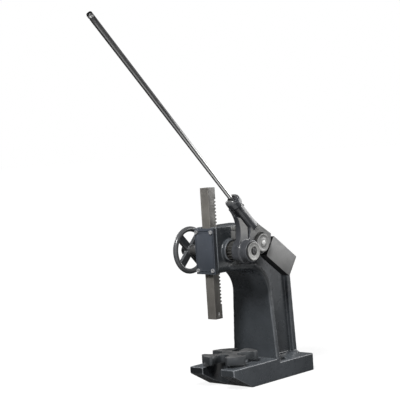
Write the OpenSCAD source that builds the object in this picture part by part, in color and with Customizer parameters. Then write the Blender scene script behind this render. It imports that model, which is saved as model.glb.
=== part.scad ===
// Ratchet arbor press: a C-frame bench press whose square ram is driven by a rack and
// pinion, quickly with a handwheel and with force through a ratcheting lever.
// Millimetres, +Z up, +X to the lever side, -Y to the front where the user stands.
// The origin is the centre of the bench bolts on the underside of the base.

/* [Base] */
// Width of the base
base_w = 242; // [210:1:260]
// Length of the base that rests on the bench
base_len = 421; // [400:1:450]
// Height of the two front legs
leg_h = 89; // [80:1:100]
// Height of the base behind the column, at its outer edges
rear_h = 72; // [60:1:76]
// Height of the base behind the column, at the column's foot
shoulder_h = 86; // [78:1:89]
// Reach of the toes in front of the bench edge
toe_reach = 113; // [90:1:130]
// Height of the underside of the toe tips
toe_rise = 61; // [40:1:70]
// Width of the slot between the legs
leg_slot_w = 100; // [70:1:110]
// Rounding of the rear corners of the base
base_corner_r = 16; // [8:1:26]
// Ram axis to the edge of the bench
ram_overhang = 69; // [60:1:80]

/* [Bench bolts] */
// Hole to hole across the base
bolt_span_x = 176; // [160:1:190]
// Hole to hole along the base
bolt_span_y = 140; // [120:1:150]
// Diameter of the bench bolt holes
bolt_hole_d = 18; // [12:0.5:20]
// Diameter of the flat faced for a bolt head
bolt_face_d = 36; // [28:1:40]
// Bolt pattern centre to the back of the base
bolt_setback = 115; // [108:1:120]

/* [Column and arm] */
// Ram axis to the column face, at the top of the throat
throat_depth = 232; // [215:1:240]
// Distance the column face runs back from there to its foot
column_lean = 5; // [0:1:24]
// Height of the underside of the arm
throat_top = 477; // [465:1:490]
// Radius of the arch between column and arm
arch_r = 105; // [80:1:120]
// Thickness of the front flange
flange_t = 18; // [14:1:26]
// Width of the front flange at the arch
flange_top_w = 202; // [180:1:206]
// Ram axis to where the arch has its full width
arch_full_y = 150; // [130:1:170]
// Thickness of the column between its flanges
web_w = 80; // [70:1:90]
// Width of the rear flange
rear_flange_w = 114; // [96:1:120]
// Thickness of the rear flange
rear_flange_t = 24; // [18:1:28]
// Depth of the column at its foot
column_depth = 217; // [200:1:222]
// Distance the back of the column runs forward towards its top
back_lean = 21; // [0:1:30]
// Height of the arm at the ram
arm_h = 191; // [185:1:200]
// Ram axis to the back end of the level arm top
arm_top_len = 190; // [160:1:200]
// Drop from the arm top to the top of the column's back
back_drop = 168; // [150:1:180]
// Width of the hollow core of the column
core_w = 56; // [30:1:60]
// Height of the hollow core of the column
core_h = 470; // [300:1:480]
// Width of the hollow under the base
base_hollow_w = 130; // [80:1:136]
// Height of the hollow under the base
base_hollow_h = 45; // [20:1:50]

/* [Ram housing] */
// Width of the housing around the ram
housing_w = 108; // [104:1:112]
// Ram axis to the back of the housing
housing_back = 108; // [100:1:116]
// Width of the front cover plate
cover_w = 102; // [98:1:103]
// Thickness of the front cover plate
cover_t = 17; // [12:1:20]
// Gap from the cover plate to the housing top
cover_top_gap = 4; // [0:0.5:8]
// Diameter of the cover screws
cover_screw_d = 10; // [8:1:12]
// Cover screw to the side edge of the cover
cover_screw_side = 11; // [10:0.5:13]
// Cover screw to the top or bottom edge of the cover
cover_screw_end = 15; // [12:1:24]
// Thickness of the side gib
gib_t = 8; // [6:0.5:8]
// Diameter of the gib adjusting screws
gib_screw_d = 8; // [6:1:9]

/* [Ram] */
// Side of the square ram
ram_w = 44.45; // [42:0.05:46]
// Length of the ram
ram_len = 540; // [500:1:560]
// Height of the ram's nose above the bench at rest
ram_nose_z = 289; // [270:1:310]
// Edge chamfer of the ram
ram_chamfer = 1.5; // [0.5:0.25:2.5]
// Diameter of the tool bore in the nose
tool_bore_d = 19; // [12:0.5:22]
// Depth of the tool bore
tool_bore_depth = 50; // [30:1:60]
// Diameter of the tool set screw
tool_screw_d = 10; // [6:1:12]
// Height of the tool set screw above the nose
tool_screw_rise = 22; // [15:1:30]

/* [Rack and pinion] */
// Gear module
gear_module = 4.5; // [4.3:0.05:4.6]
// Teeth on the pinion
pinion_teeth = 14; // [13:1:15]
// Width of the pinion
pinion_w = 40; // [30:1:42]
// Play between the tooth flanks
backlash = 0.4; // [0.2:0.05:0.6]
// Gaps of the rack above and below the pinion
rack_gaps = 15; // [12:1:15]

/* [Shaft] */
// Shaft axis above the underside of the arm
shaft_rise = 88; // [84:1:92]
// Diameter of the journal on the lever side
journal_d = 45; // [40:1:50]
// Diameter of the shaft on the handwheel side and under the lever
shaft_d = 40; // [36:1:42]
// Diameter of the handwheel seat
wheel_seat_d = 30; // [26:1:34]
// Outer diameter of the large bearing
bearing_d = 76; // [74:1:80]
// Outer diameter of the left bush
left_bush_d = 60; // [54:1:64]
// Diameter of the shaft bosses on the housing
boss_d = 97; // [92:1:100]
// Length of the right boss
right_boss_len = 20; // [14:1:26]
// Length of the left boss
left_boss_len = 28; // [14:1:40]
// Diameter of the bearing set screws
bearing_screw_d = 8; // [6:1:10]
// Width of the keys
key_w = 10; // [8:1:12]
// Height of a key above its seat
key_rise = 3.5; // [2.5:0.5:4]

/* [Handwheel] */
// Outer diameter of the rim
wheel_d = 200; // [170:1:220]
// Diameter of the rim's round section
rim_d = 22; // [16:1:26]
// Width of the flat spokes
spoke_w = 32; // [20:1:38]
// Thickness of the flat spokes
spoke_t = 16; // [10:1:20]
// Number of spokes
spoke_count = 4; // [3:1:6]
// Diameter of the hub
wheel_hub_d = 48; // [44:1:56]
// Hub length outside the rim plane
wheel_hub_out = 30; // [26:1:50]
// Hub length inside the rim plane
wheel_hub_in = 16; // [12:1:24]
// Left boss to the hub
wheel_gap = 66; // [40:1:80]
// Diameter of the handwheel set screw
wheel_screw_d = 8; // [6:1:10]

/* [Ratchet wheel] */
// Outer diameter of the ratchet wheel
ratchet_d = 84; // [80:1:90]
// Depth of a tooth
ratchet_tooth = 6; // [4:0.5:7]
// Number of teeth
ratchet_teeth = 20; // [16:1:24]
// Width of the wheel
ratchet_w = 26; // [20:1:30]
// Boss to the wheel
ratchet_gap = 4; // [2:0.5:6]

/* [Lever head] */
// Lean of the lever to the front, from upright
lever_lean = 44.5; // [30:0.5:50]
// Shaft axis to the lever's own axis
lever_offset = 108.6; // [104:0.1:114]
// Shaft to the saddle in the mouth, along the lever
mouth_u = 190; // [180:1:200]
// Diameter of the socket tube
tube_d = 46; // [42:1:50]
// Diameter of the mouth bead
mouth_d = 63; // [58:1:68]
// Radius of the bead's round ends
mouth_round_r = 36; // [34:1:40]
// Width of the saddle between the two ears
saddle_w = 26; // [24:1:30]
// Saddle to the middle of the bead, along the lever
bead_drop = 18; // [14:1:20]
// Length of the bead's straight skirt below its middle
bead_skirt = 8; // [4:1:12]
// Depth of the rod in the socket
socket_depth = 120; // [100:1:130]
// Ratchet wheel to the head
head_gap = 6; // [4:0.5:8]
// Diameter of the hub collar
collar_d = 104; // [98:1:110]
// Length of the hub collar
collar_len = 37; // [32:1:42]
// Diameter of the hub nose
nose_d = 90; // [82:1:94]
// Length of the hub nose
nose_len = 34; // [28:1:40]
// Thickness of the front limb
limb_t = 26; // [20:1:30]
// Gap between the limb's raised face and the socket tube
limb_gap = 6; // [4:0.5:8]
// Thickness of the pawl cheek
cheek_t = 38; // [32:1:40]
// Outer diameter of the lever bush
lever_bush_d = 52; // [48:1:56]
// Diameter of the rod set screw
rod_screw_d = 10; // [8:1:12]
// Rod set screw to the saddle
rod_screw_drop = 60; // [50:1:70]

/* [Lever rod] */
// Diameter of the rod in the socket
rod_d = 19; // [16:0.5:20]
// Diameter of the rod at the hand end
rod_end_d = 24; // [18:0.5:26]
// Length of the rod outside the saddle
rod_reach = 1026; // [800:1:1100]

/* [Counterweight] */
// Length of the block
weight_len = 176; // [150:1:190]
// Height of the block
weight_h = 94; // [84:1:100]
// Thickness of the block
weight_t = 38; // [30:1:40]
// Turn of the block against the lever
weight_tilt = 9.8; // [5:0.1:14]
// Edge chamfer of the block
weight_chamfer = 3; // [1:0.5:5]
// Diameter of the counterweight bolts
weight_bolt_d = 12; // [10:1:14]

/* [Pawl] */
// Shaft axis to the pawl pivot
pawl_radius = 94.4; // [92:0.1:98]
// Angle of the pivot above level, behind the shaft
pawl_angle = 15.2; // [12:0.1:20]
// Diameter of the pawl shaft
pawl_shaft_d = 24; // [20:1:26]
// Diameter of the pawl's boss
pawl_boss_d = 36; // [34:1:40]
// Width of the pawl
pawl_w = 22; // [16:1:24]
// Turn from the lifted pawl to the engaged one
pawl_lift = 8; // [6:0.5:10]
// Diameter of the pawl knob
knob_d = 77; // [70:1:80]
// Thickness of the pawl knob
knob_t = 18; // [14:1:22]
// Diameter of the pin end that shows in the knob
knob_pin_d = 20; // [12:1:22]

/* [End cap] */
// Diameter of the end cap
cap_d = 77; // [70:1:84]
// Thickness of the end cap
cap_t = 7; // [5:0.5:10]
// Diameter of the end cap screw
cap_screw_d = 14; // [10:1:16]
// Diameter of the recess round the end cap screw
cap_recess_d = 34; // [28:1:50]

/* [Table plate] */
// Diameter of the table plate
table_d = 234; // [222:1:240]
// Thickness of the table plate
table_t = 33; // [28:1:38]
// Ram axis to the pivot of the table plate
table_pivot_y = 75; // [72:1:80]
// Height of the pad under the table plate
table_pad_h = 12; // [6:0.5:16]
// Diameter of the pad under the table plate
table_pad_d = 150; // [130:1:170]
// Diameter of the pivot pin
table_pin_d = 24; // [18:1:28]
// Depth of the pivot pin in the base
table_pin_depth = 40; // [30:1:50]
// Pivot to the round floor of each notch
notch_floor = 38; // [34:1:44]
// Width of the notch at the front
front_notch_w = 58; // [50:1:66]
// Width of the notch at the right
right_notch_w = 92; // [60:1:106]
// Width of the notch at the rear
rear_notch_w = 30; // [16:1:40]
// Width of the notch at the left
left_notch_w = 74; // [50:1:86]
// Turn of the plate from square, as built
table_turn = 14; // [0:1:15]
// Radius of the lobe corners between rim and notches
lobe_r = 12; // [6:1:14]

/* [Fits] */
// Radial play of a shaft or screw in its hole
fit_gap = 0.05; // [0.02:0.01:0.08]
// Play of the ram against its guides
slide_gap = 0.08; // [0.04:0.01:0.1]
// Side play between parts that turn past each other
side_gap = 0.4; // [0.3:0.1:0.8]

/* [Hidden] */
$fn = 64;
// Overshoot of a cut past the face it opens
over = 1;
// Paints and metals
paint = "#3b4349";
dark_steel = "#5a5c5e";
bare_steel = "#a7a398";
bright = "#c9cbcc";
grey_cast = "#85888a";
bronze = "#a98b52";

// Places along Y, from the ram axis
bench_edge = ram_overhang;
base_back = bench_edge + base_len;
toe_tip = bench_edge - toe_reach;
bolts_y = base_back - bolt_setback;
column_foot = throat_depth + column_lean;
column_back = column_foot + column_depth;
column_back_top = column_back - back_lean;
flange_back = column_foot + flange_t;
arch_y = throat_depth - arch_r;
cover_back = -(ram_w / 2 + slide_gap);
throat_front = toe_tip;

// Heights
arch_z = throat_top - arch_r;
arm_top = throat_top + arm_h;
shaft_z = throat_top + shaft_rise;
back_top_z = arm_top - back_drop;
cover_h = arm_h - cover_top_gap;
table_z = leg_h + table_pad_h + slide_gap;

// The lobe corners cross the rim and the notch walls at a slight angle
lobe_over = 0.3;
// Notch widths from the front round to the left
notch_w = [front_notch_w, right_notch_w, rear_notch_w, left_notch_w];

// Rack and pinion with stub teeth
pressure = 20;
addendum = 0.8 * gear_module;
dedendum = gear_module;
rack_pitch = PI * gear_module;
pinion_r = gear_module * pinion_teeth / 2;
pinion_base_r = pinion_r * cos(pressure);
rack_line_y = ram_w / 2 - addendum;
shaft_y = rack_line_y + pinion_r;

// Stations along X, outwards from the ram
guide_right = ram_w / 2 + slide_gap;
guide_left = guide_right + gib_t + slide_gap;
right_boss_x = housing_w / 2 + right_boss_len;
left_boss_x = -housing_w / 2 - left_boss_len;
ratchet_x = right_boss_x + ratchet_gap;
ratchet_end_x = ratchet_x + ratchet_w;
head_x = ratchet_end_x + head_gap;
collar_end_x = head_x + collar_len;
nose_end_x = collar_end_x + nose_len;
shaft_end_x = nose_end_x + side_gap;
wheel_in_x = left_boss_x - wheel_gap;
wheel_x = wheel_in_x - wheel_hub_in;
wheel_out_x = wheel_x - wheel_hub_out;
limb_x = collar_end_x - limb_t;
cheek_x = head_x + 2;
cheek_end_x = cheek_x + cheek_t;
lever_x = (limb_x + cheek_end_x) / 2;
pawl_x = ratchet_x + (ratchet_w - pawl_w) / 2;
weight_x = cheek_end_x - weight_t;

// Lever head, measured from the shaft: n square to the lever, u along it
mouth_top_u = mouth_u + saddle_w;
limb_top_u = mouth_u - bead_drop;
limb_root = 16;
limb_hollow = [-48, mouth_u - 24];
limb_r = norm(limb_hollow) - collar_d / 2 + 1;
// Edge of the limb's raised face, from its tip down to the hub
leaf_n = lever_offset - tube_d / 2 - limb_gap;
leaf_edge = [[leaf_n - 12, mouth_u - 55], [leaf_n, mouth_u - 76], [leaf_n, collar_d / 2 + 4], [45, 22]];
socket_floor_u = mouth_u - socket_depth;
rod_top_u = mouth_u + rod_reach;
pivot_turn = pawl_angle - lever_lean;
pivot_n = pawl_radius * cos(pivot_turn);
pivot_u = pawl_radius * sin(pivot_turn);
weight_n = pivot_n + 28.5;
weight_u = pivot_u - 54;
weight_bolt_y = [10, 34];
neck_h = 40;
neck_t = 24;
neck_x = weight_x + (weight_t - neck_t) / 2;
knob_recess = 4;
knob_x = cheek_end_x - knob_recess + side_gap;
knob_end_x = knob_x + knob_t;

// Ratchet teeth: the driven face of one tooth meets the pawl's nose at this angle
nose_angle = 111;
ratchet_root_r = ratchet_d / 2 - ratchet_tooth;
ratchet_step = 360 / ratchet_teeth;
pawl_clear = 0.6;

// Puts the ram axis in its place in front of the bench bolts
module at_ram() {
    translate([0, -bolts_y, 0]) children();
}

// Shaft axis, with X along the shaft
module at_shaft() {
    at_ram() translate([0, shaft_y, shaft_z]) children();
}

// Lever frame on the shaft axis: Y square to the lever, Z along it
module at_lever() {
    at_shaft() rotate([lever_lean, 0, 0]) children();
}

// Extrudes a side view, drawn in Y and Z, from one X to another
module along_x(x0, x1) {
    translate([x0, 0, 0]) rotate([90, 0, 90]) linear_extrude(x1 - x0) children();
}

// Extrudes a front view, drawn in X and Z, from one Y to another
module along_y(y0, y1) {
    translate([0, y1, 0]) rotate([90, 0, 0]) linear_extrude(y1 - y0) children();
}

// Round bar along X
module bar_x(x0, x1, d) {
    translate([x0, 0, 0]) rotate([0, 90, 0]) cylinder(h = x1 - x0, d = d);
}

// Round bar along Y
module bar_y(y0, y1, d) {
    translate([0, y0, 0]) rotate([-90, 0, 0]) cylinder(h = y1 - y0, d = d);
}

// Hexagon socket screw along +Z: shank below zero, head above, with its key hole
module socket_screw(d, len, head_h) {
    difference() {
        union() {
            translate([0, 0, -len]) cylinder(h = len, d = d);
            cylinder(h = head_h, d = 1.6 * d);
        }
        translate([0, 0, head_h / 2]) cylinder(h = head_h, d = 0.9 * d, $fn = 6);
    }
}

// Headless set screw along +Z, its top at zero, with its key hole
module set_screw(d, len) {
    difference() {
        translate([0, 0, -len]) cylinder(h = len, d = d);
        translate([0, 0, -len / 3]) cylinder(h = len, d = 0.55 * d, $fn = 6);
    }
}

// Side view of the whole frame above the base, with the throat filled in
module frame_outline() {
    polygon([[cover_back, rear_h / 2], [cover_back, arm_top], [arm_top_len, arm_top],
        [column_back_top, back_top_z], [column_back, rear_h], [column_back, rear_h / 2]]);
}

// Side view of the open throat, grown into the frame by a wall
module throat(grow) {
    polygon([[throat_front, 0], [column_foot + grow, 0], [column_foot + grow, leg_h],
        [throat_depth + grow, arch_z], [throat_front, arch_z]]);
    translate([throat_front, 0]) square([arch_y - throat_front, throat_top + grow]);
    translate([arch_y, arch_z]) circle(r = arch_r + grow);
}

// Plan of the base with its round rear corners and the slot between the legs
module base_plan() {
    difference() {
        union() {
            translate([-base_w / 2, toe_tip]) square([base_w, base_back - base_corner_r - toe_tip]);
            translate([base_corner_r - base_w / 2, toe_tip])
                square([base_w - 2 * base_corner_r, base_back - toe_tip]);
            for (side = [-1, 1])
                translate([side * (base_w / 2 - base_corner_r), base_back - base_corner_r])
                    circle(r = base_corner_r);
        }
        translate([-leg_slot_w / 2, toe_tip - over]) square([leg_slot_w, over - toe_tip]);
        circle(d = leg_slot_w);
    }
}

// Base casting: legs with raised toes in front, a lower foot behind the column
module base_solid() {
    intersection() {
        along_x(-base_w / 2, base_w / 2)
            polygon([[toe_tip, toe_rise], [toe_tip, leg_h], [flange_back, leg_h],
                [flange_back, rear_h], [base_back, rear_h], [base_back, 0], [bench_edge, 0]]);
        linear_extrude(leg_h) base_plan();
    }
    along_y(column_foot + flange_t / 2, column_back)
        polygon([[-base_w / 2, rear_h], [-rear_flange_w / 2, shoulder_h],
            [rear_flange_w / 2, shoulder_h], [base_w / 2, rear_h]]);
    translate([0, table_pivot_y, leg_h - over]) difference() {
        cylinder(h = table_pad_h + over, d = table_pad_d);
        translate([0, -table_pivot_y, -over]) cylinder(h = table_pad_h + 3 * over, d = leg_slot_w);
        translate([-leg_slot_w / 2, -table_d, -over])
            cube([leg_slot_w, table_d - table_pivot_y, table_pad_h + 3 * over]);
    }
}

// Front flange: the wide face of the column, swept through the arch under the arm
module front_flange() {
    intersection() {
        along_x(-base_w / 2, base_w / 2) difference() {
            intersection() {
                throat(flange_t);
                frame_outline();
            }
            throat(0);
        }
        along_y(throat_front, base_back)
            polygon([[-base_w / 2, 0], [-base_w / 2, leg_h], [-flange_top_w / 2, arch_z],
                [-flange_top_w / 2, arm_top], [flange_top_w / 2, arm_top],
                [flange_top_w / 2, arch_z], [base_w / 2, leg_h], [base_w / 2, 0]]);
        linear_extrude(arm_top)
            polygon([[-housing_w / 2, throat_front], [-housing_w / 2, shaft_y],
                [-flange_top_w / 2, arch_full_y], [-base_w / 2, throat_depth],
                [-base_w / 2, base_back], [base_w / 2, base_back], [base_w / 2, throat_depth],
                [flange_top_w / 2, arch_full_y], [housing_w / 2, shaft_y],
                [housing_w / 2, throat_front]]);
    }
}

// Web, rear flange, arm and ram housing
module frame_body() {
    along_x(-web_w / 2, web_w / 2) difference() {
        frame_outline();
        throat(0);
    }
    along_x(-rear_flange_w / 2, rear_flange_w / 2) difference() {
        frame_outline();
        translate([-rear_flange_t, -rear_flange_t]) frame_outline();
        throat(flange_t);
        translate([cover_back - over, 0]) square([housing_back - cover_back, arm_top + over]);
    }
    translate([-housing_w / 2, cover_back, throat_top])
        cube([housing_w, housing_back - cover_back, arm_h]);
    translate([0, shaft_y, shaft_z]) bar_x(left_boss_x, right_boss_x, boss_d);
}

// Places of the cover screws and of the gib screws
cover_screw_x = cover_w / 2 - cover_screw_side;
cover_screw_z = [throat_top + cover_screw_end, throat_top + cover_h - cover_screw_end];
cover_screw_len = cover_t + 2 * cover_screw_d;
gib_screw_y = -8;
gib_screw_z = [throat_top + arm_h / 6, throat_top + arm_h / 2, arm_top - arm_h / 6];

// Everything machined out of the casting
module frame_cuts() {
    translate([-guide_left, cover_back - over, throat_top - over])
        cube([guide_left + guide_right, over - cover_back + ram_w / 2 + slide_gap, arm_h + 2 * over]);
    translate([0, shaft_y, shaft_z]) {
        bar_x(-pinion_w / 2 - over, right_boss_x + over, bearing_d);
        bar_x(left_boss_x - over, 0, left_bush_d);
        for (x = bearing_screw_x)
            translate([x, 0, 0]) bar_y(0, boss_d / 2 + over, bearing_screw_d + 2 * fit_gap);
    }
    for (x = [-cover_screw_x, cover_screw_x], z = cover_screw_z)
        translate([x, cover_back, z])
            bar_y(-over, cover_screw_len - cover_t + over, cover_screw_d + 2 * fit_gap);
    for (z = gib_screw_z)
        translate([-housing_w / 2 - over, gib_screw_y, z])
            bar_x(0, housing_w / 2 - guide_left + 2 * over, gib_screw_d + 2 * fit_gap);
    for (x = [-1, 1], y = [-1, 1])
        translate([x * bolt_span_x / 2, bolts_y + y * bolt_span_y / 2, 0]) {
            translate([0, 0, -over]) cylinder(h = leg_h, d = bolt_hole_d);
            translate([0, 0, rear_h - 2]) cylinder(h = leg_h, d = bolt_face_d);
        }
    translate([0, table_pivot_y, leg_h + table_pad_h - table_pin_depth])
        cylinder(h = table_pin_depth + over, d = table_pin_d + 2 * fit_gap);
    core_front = flange_back + flange_t / 2;
    translate([-core_w / 2, core_front, -over])
        cube([core_w, column_back_top - 1.5 * rear_flange_t - core_front, core_h + over]);
    translate([-base_hollow_w / 2, bench_edge + rear_flange_t, -over])
        cube([base_hollow_w, base_len - 2 * rear_flange_t, base_hollow_h + over]);
}
bearing_screw_x = [(right_boss_x + housing_w / 2) / 2, (left_boss_x - housing_w / 2) / 2];

module frame_casting() {
    color(paint) at_ram() difference() {
        union() {
            base_solid();
            front_flange();
            frame_body();
        }
        frame_cuts();
    }
}

module front_cover_plate() {
    color(paint) at_ram() difference() {
        translate([-cover_w / 2, cover_back - cover_t, throat_top]) cube([cover_w, cover_t, cover_h]);
        for (x = [-cover_screw_x, cover_screw_x], z = cover_screw_z)
            translate([x, cover_back - cover_t, z])
                bar_y(-over, cover_t + 2 * over, cover_screw_d + 2 * fit_gap);
    }
}

module cover_screws() {
    color(bright) at_ram()
        for (x = [-cover_screw_x, cover_screw_x], z = cover_screw_z)
            translate([x, cover_back - cover_t, z]) rotate([90, 0, 0])
                socket_screw(cover_screw_d, cover_screw_len, cover_screw_d / 2);
}

// Gib between the ram and the left wall of its guide
module side_gib() {
    color(bronze) at_ram()
        translate([-guide_left + slide_gap, cover_back + slide_gap, throat_top + over])
            cube([gib_t - slide_gap, ram_w / 2 - rack_depth - cover_back, arm_h - 2 * over]);
}
rack_depth = addendum + dedendum;

module gib_screws() {
    color(dark_steel) at_ram()
        for (z = gib_screw_z)
            translate([-housing_w / 2 - 2.2 * gib_screw_d, gib_screw_y, z]) rotate([0, -90, 0])
                set_screw(gib_screw_d, housing_w / 2 + 2.2 * gib_screw_d - guide_left + slide_gap);
}

module gib_lock_nuts() {
    color(bright) at_ram()
        for (z = gib_screw_z)
            translate([-housing_w / 2, gib_screw_y, z]) rotate([0, -90, 0]) difference() {
                cylinder(h = gib_screw_d, d = 2 * gib_screw_d, $fn = 6);
                translate([0, 0, -over])
                    cylinder(h = gib_screw_d + 2 * over, d = gib_screw_d + 2 * fit_gap);
            }
}

// Large bearing that closes the hole the pinion goes in through
module right_bearing() {
    color(bronze) at_shaft() difference() {
        bar_x(guide_right + side_gap, right_boss_x, bearing_d - 2 * fit_gap);
        bar_x(0, right_boss_x + over, journal_d + 2 * fit_gap);
    }
}

module left_bush() {
    color(bronze) at_shaft() difference() {
        bar_x(left_boss_x, -guide_left - side_gap, left_bush_d - 2 * fit_gap);
        bar_x(left_boss_x - over, 0, shaft_d + 2 * fit_gap);
    }
}

module bearing_set_screws() {
    color(dark_steel) at_shaft() {
        translate([bearing_screw_x[0], boss_d / 2, 0]) rotate([-90, 0, 0])
            set_screw(bearing_screw_d, (boss_d - bearing_d) / 2);
        translate([bearing_screw_x[1], boss_d / 2, 0]) rotate([-90, 0, 0])
            set_screw(bearing_screw_d, (boss_d - left_bush_d) / 2);
    }
}

module table_pivot_pin() {
    color(dark_steel) at_ram()
        translate([0, table_pivot_y, leg_h + table_pad_h - table_pin_depth])
            cylinder(h = table_pin_depth + table_t - over, d = table_pin_d);
}

// Plan of a notch that opens towards -Y, with the waste at its two rounded lobe corners
module notch_view(w) {
    rim = table_d / 2;
    lobe = [w / 2 + lobe_r, -sqrt(pow(rim - lobe_r, 2) - pow(w / 2 + lobe_r, 2))];
    translate([0, -notch_floor - w / 2]) circle(d = w);
    translate([-w / 2, -table_d - notch_floor - w / 2]) square([w, table_d]);
    for (side = [0, 1]) mirror([side, 0]) difference() {
        polygon([[w / 2 - over, lobe[1]], lobe, lobe * (rim + over) / (rim - lobe_r),
            [w / 2 - over, -rim - over]]);
        translate(lobe) circle(r = lobe_r + lobe_over);
    }
}

// Round plate with a notch of its own width on each of four sides
module table_plate() {
    color(dark_steel) at_ram() translate([0, table_pivot_y, table_z]) difference() {
        cylinder(h = table_t, d = table_d);
        translate([0, 0, -over]) cylinder(h = table_t + 2 * over, d = table_pin_d + 2 * fit_gap);
        for (i = [0 : 3]) rotate([0, 0, table_turn + 90 * i]) translate([0, 0, -over])
            linear_extrude(height = table_t + 2 * over) notch_view(notch_w[i]);
    }
}

// Gap between two rack teeth, seen from the side and centred on zero height
module rack_gap() {
    half = rack_pitch / 4 + backlash / 4;
    tip = half + (addendum + over) * tan(pressure);
    root = half - dedendum * tan(pressure);
    polygon([[rack_line_y - dedendum, -root], [ram_w / 2 + over, -tip],
        [ram_w / 2 + over, tip], [rack_line_y - dedendum, root]]);
}

module ram() {
    edge = ram_w / 2;
    flat = edge - ram_chamfer;
    color(bare_steel) at_ram() difference() {
        translate([0, 0, ram_nose_z]) linear_extrude(ram_len)
            polygon([[-flat, -edge], [flat, -edge], [edge, -flat], [edge, flat],
                [flat, edge], [-flat, edge], [-edge, flat], [-edge, -flat]]);
        for (i = [-rack_gaps : rack_gaps])
            translate([0, 0, shaft_z + i * rack_pitch]) along_x(-ram_w, ram_w) rack_gap();
        translate([0, 0, ram_nose_z - over]) cylinder(h = tool_bore_depth + over, d = tool_bore_d);
        translate([0, 0, ram_nose_z + tool_screw_rise])
            bar_x(0, ram_w, tool_screw_d + 2 * fit_gap);
    }
}

module tool_set_screw() {
    color(bright) at_ram()
        translate([ram_w / 2 - over, 0, ram_nose_z + tool_screw_rise]) rotate([0, 90, 0])
            set_screw(tool_screw_d, (ram_w - tool_bore_d) / 2 - over);
}

// Involute pinion: half the angle of a tooth at a radius
function involute(r) = r <= pinion_base_r ? 0
    : sqrt(pow(r / pinion_base_r, 2) - 1) * 180 / PI - acos(pinion_base_r / r);
function tooth_half(r) = (90 - backlash / 4 / pinion_r * 180 / PI * pinion_teeth) / pinion_teeth
    + involute(pinion_r) - involute(r);
function polar(r, a) = [r * cos(a), r * sin(a)];
pinion_root_r = pinion_r - dedendum;
pinion_tip_r = pinion_r + addendum;
flank_steps = 5;
flank = [pinion_root_r, for (i = [0 : flank_steps])
    pinion_base_r + (pinion_tip_r - pinion_base_r) * i / flank_steps];

module pinion_profile() {
    polygon([for (t = [0 : pinion_teeth - 1]) let (a = 180 + t * 360 / pinion_teeth)
        each [for (r = flank) polar(r, a - tooth_half(r)),
            for (i = [len(flank) - 1 : -1 : 0]) polar(flank[i], a + tooth_half(flank[i]))]]);
}

// Key seat of a key that lies on top of the shaft, from one X to another
module key(x0, x1, d, grow) {
    translate([x0, -key_w / 2 - grow, d / 2 - key_w / 2])
        cube([x1 - x0, key_w + 2 * grow, key_w / 2 + key_rise + grow]);
}

module pinion_shaft() {
    color(bare_steel) at_shaft() difference() {
        union() {
            bar_x(wheel_out_x + over, wheel_in_x, wheel_seat_d);
            bar_x(wheel_in_x, -pinion_w / 2, shaft_d);
            along_x(-pinion_w / 2, pinion_w / 2) pinion_profile();
            bar_x(pinion_w / 2, ratchet_end_x, journal_d);
            bar_x(ratchet_end_x, shaft_end_x, shaft_d);
        }
        key(ratchet_x, ratchet_end_x, journal_d, fit_gap);
        key(wheel_out_x, wheel_in_x, wheel_seat_d, fit_gap);
        bar_x(shaft_end_x - 3 * cap_screw_d, shaft_end_x + over, cap_screw_d + 2 * fit_gap);
    }
}

// Ratchet teeth, driven forwards over the top: steep behind and sloping in front
module ratchet_wheel() {
    color(dark_steel) at_shaft() difference() {
        along_x(ratchet_x, ratchet_end_x)
            polygon([for (i = [0 : ratchet_teeth - 1]) let (a = nose_angle + i * ratchet_step)
                each [polar(ratchet_root_r, a), polar(ratchet_d / 2, a),
                    polar(ratchet_d / 2, a + ratchet_step / 5)]]);
        bar_x(0, head_x, journal_d + 2 * fit_gap);
        key(ratchet_x - over, head_x, journal_d, fit_gap);
    }
}

module ratchet_key() {
    color(bare_steel) at_shaft() key(ratchet_x, ratchet_end_x, journal_d, 0);
}

module handwheel() {
    rim_r = (wheel_d - rim_d) / 2;
    color(paint) at_shaft() difference() {
        union() {
            translate([wheel_x, 0, 0]) rotate([0, 90, 0]) rotate_extrude()
                translate([rim_r, 0]) circle(d = rim_d);
            for (i = [0 : spoke_count - 1])
                translate([wheel_x, 0, 0]) rotate([(i + 0.5) * 360 / spoke_count, 0, 0])
                    translate([-spoke_t / 2, -spoke_w / 2, 0]) cube([spoke_t, spoke_w, rim_r]);
            bar_x(wheel_out_x, wheel_in_x, wheel_hub_d);
        }
        bar_x(wheel_out_x - over, wheel_in_x + over, wheel_seat_d + 2 * fit_gap);
        key(wheel_out_x - over, wheel_in_x + over, wheel_seat_d, fit_gap);
        translate([wheel_screw_at, 0, 0]) bar_y(0, wheel_d / 4, wheel_screw_d + 2 * fit_gap);
    }
}
wheel_screw_at = wheel_out_x + wheel_hub_out / 3;

module handwheel_key() {
    color(bare_steel) at_shaft() key(wheel_out_x + over, wheel_in_x, wheel_seat_d, 0);
}

module handwheel_set_screw() {
    color(dark_steel) at_shaft()
        translate([wheel_screw_at, wheel_hub_d / 2, 0]) rotate([-90, 0, 0])
            set_screw(wheel_screw_d, (wheel_hub_d - wheel_seat_d) / 2);
}

module end_cap() {
    color(grey_cast) at_shaft() difference() {
        bar_x(shaft_end_x, shaft_end_x + cap_t, cap_d);
        bar_x(0, shaft_end_x + 2 * cap_t, cap_screw_d + 2 * fit_gap);
        bar_x(shaft_end_x + cap_t / 2, shaft_end_x + 2 * cap_t, cap_recess_d);
    }
}

module end_cap_screw() {
    color(dark_steel) at_shaft() translate([shaft_end_x + cap_t / 2, 0, 0]) rotate([0, 90, 0])
        socket_screw(cap_screw_d, cap_t / 2 + 2 * cap_screw_d, cap_t / 2);
}

// Side view of the front limb, hollow along its front edge
module limb_view() {
    difference() {
        translate([-limb_root, 0]) square([limb_root + lever_offset, limb_top_u]);
        translate(limb_hollow) circle(r = limb_r);
    }
}

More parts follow.
